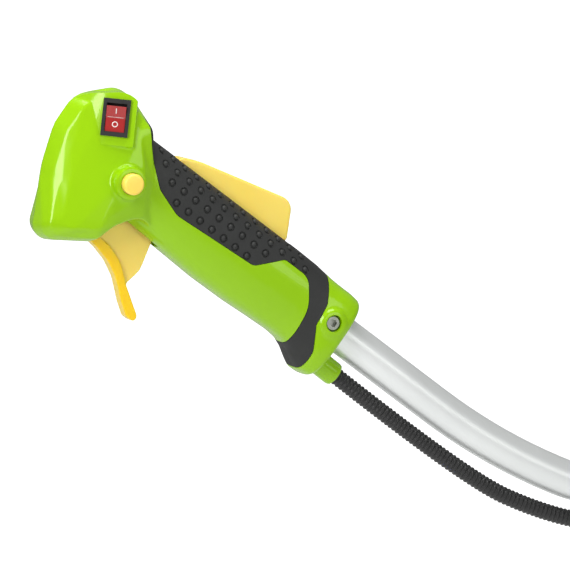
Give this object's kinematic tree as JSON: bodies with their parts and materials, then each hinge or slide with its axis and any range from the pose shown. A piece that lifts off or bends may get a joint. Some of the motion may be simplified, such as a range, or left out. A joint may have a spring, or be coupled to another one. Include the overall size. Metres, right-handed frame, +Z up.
{
  "type": "string trimmer throttle handle",
  "caption": "Throttle handle of a petrol string trimmer on the end of its bent handlebar tube, with trigger, lockout lever, stop switch, lock button and cable conduit.",
  "frame": {"origin": "centre of the handlebar tube's free end", "axes": "+X out of the tube's free end, along its axis; +Z up, towards the top of the leaning grip; +Y towards the right shell"},
  "size_m": [0.4346, 0.058, 0.3051],
  "materials": {
    "green_plastic": "glossy lime green moulding",
    "grip_rubber": "matt black, soft",
    "amber_plastic": "slightly translucent amber moulding",
    "tube_aluminium": "satin anodised tube",
    "zinc_steel": "zinc-plated steel",
    "spring_steel": "drawn spring wire",
    "black_plastic": "black, slightly satin",
    "red_plastic": "translucent red rocker with white marks",
    "brass": "bare",
    "blue_insulation": "lead insulation",
    "cable_steel": "stranded"
  },
  "bodies": {
    "handle": {"left_shell": "green_plastic", "right_shell": "green_plastic", "left_grip_pad": "grip_rubber", "right_grip_pad": "grip_rubber", "handlebar_tube": "tube_aluminium", "trigger_pivot_pin": "zinc_steel", "trigger_return_spring": "spring_steel", "lockout_pivot_pin": "zinc_steel", "lockout_spring": "spring_steel", "button_spring_seat": "black_plastic", "lock_button_spring": "spring_steel", "switch_housing": "black_plastic", "switch_terminals": "brass", "switch_leads": "blue_insulation", "lead_connectors": "brass", "throttle_sheath": "black_plastic", "sheath_ferrule": "zinc_steel", "cable_adjuster": "brass", "adjuster_locknut": "zinc_steel", "conduit": "black_plastic", "conduit_end_sleeve": "black_plastic", "shell_screws": "zinc_steel", "clamp_screw": "zinc_steel", "clamp_washer": "zinc_steel", "clamp_nut": "zinc_steel", "conduit_clip": "black_plastic", "clip_screw": "zinc_steel"},
    "trigger": {"throttle_trigger": "amber_plastic"},
    "lever": {"lockout_lever": "amber_plastic"},
    "button": {"lock_button": "amber_plastic"},
    "rocker": {"switch_rocker": "red_plastic"},
    "front_wire": {"throttle_wire_front": "cable_steel"},
    "rear_wire": {"throttle_wire_rear": "cable_steel"}
  },
  "joints": [
    {"name": "trigger_pull", "type": "hinge", "parent": "handle", "child": "trigger", "pos_m": [-0.38359, 0, 0.17005], "axis": [0, -1, 0], "range_deg": [0, 22], "stiffness_Nm_per_rad": 0.25, "springref_deg": -11.46},
    {"name": "lever_press", "type": "hinge", "parent": "handle", "child": "lever", "pos_m": [-0.3295, 0, 0.19486], "axis": [0, 1, 0], "range_deg": [0, 13], "stiffness_Nm_per_rad": 0.3, "springref_deg": -8.59},
    {"name": "button_press", "type": "slide", "parent": "handle", "child": "button", "axis": [0, 1, 0], "range_m": [0, 0.0035], "stiffness_N_per_m": 900, "springref_m": -0.001, "deforming": ["lock_button_spring"]},
    {"name": "rocker_tip", "type": "hinge", "parent": "handle", "child": "rocker", "pos_m": [-0.37107, -0.01698, 0.23042], "axis": [-0.9172, 0.3842, 0.1055], "range_deg": [0, 24]},
    {"name": "front_wire_pull", "type": "slide", "parent": "handle", "child": "front_wire", "axis": [-0.7956, 0, 0.6058], "range_m": [0, 0.0089]},
    {"name": "rear_wire_pull", "type": "slide", "parent": "handle", "child": "rear_wire", "axis": [-1, 0, 0.0003], "range_m": [0, 0.0089]}
  ],
  "couplings": [
    {"joint": "front_wire_pull", "follows": "trigger_pull", "m_per_rad": 0.022859},
    {"joint": "rear_wire_pull", "follows": "trigger_pull", "m_per_rad": 0.022859}
  ]
}
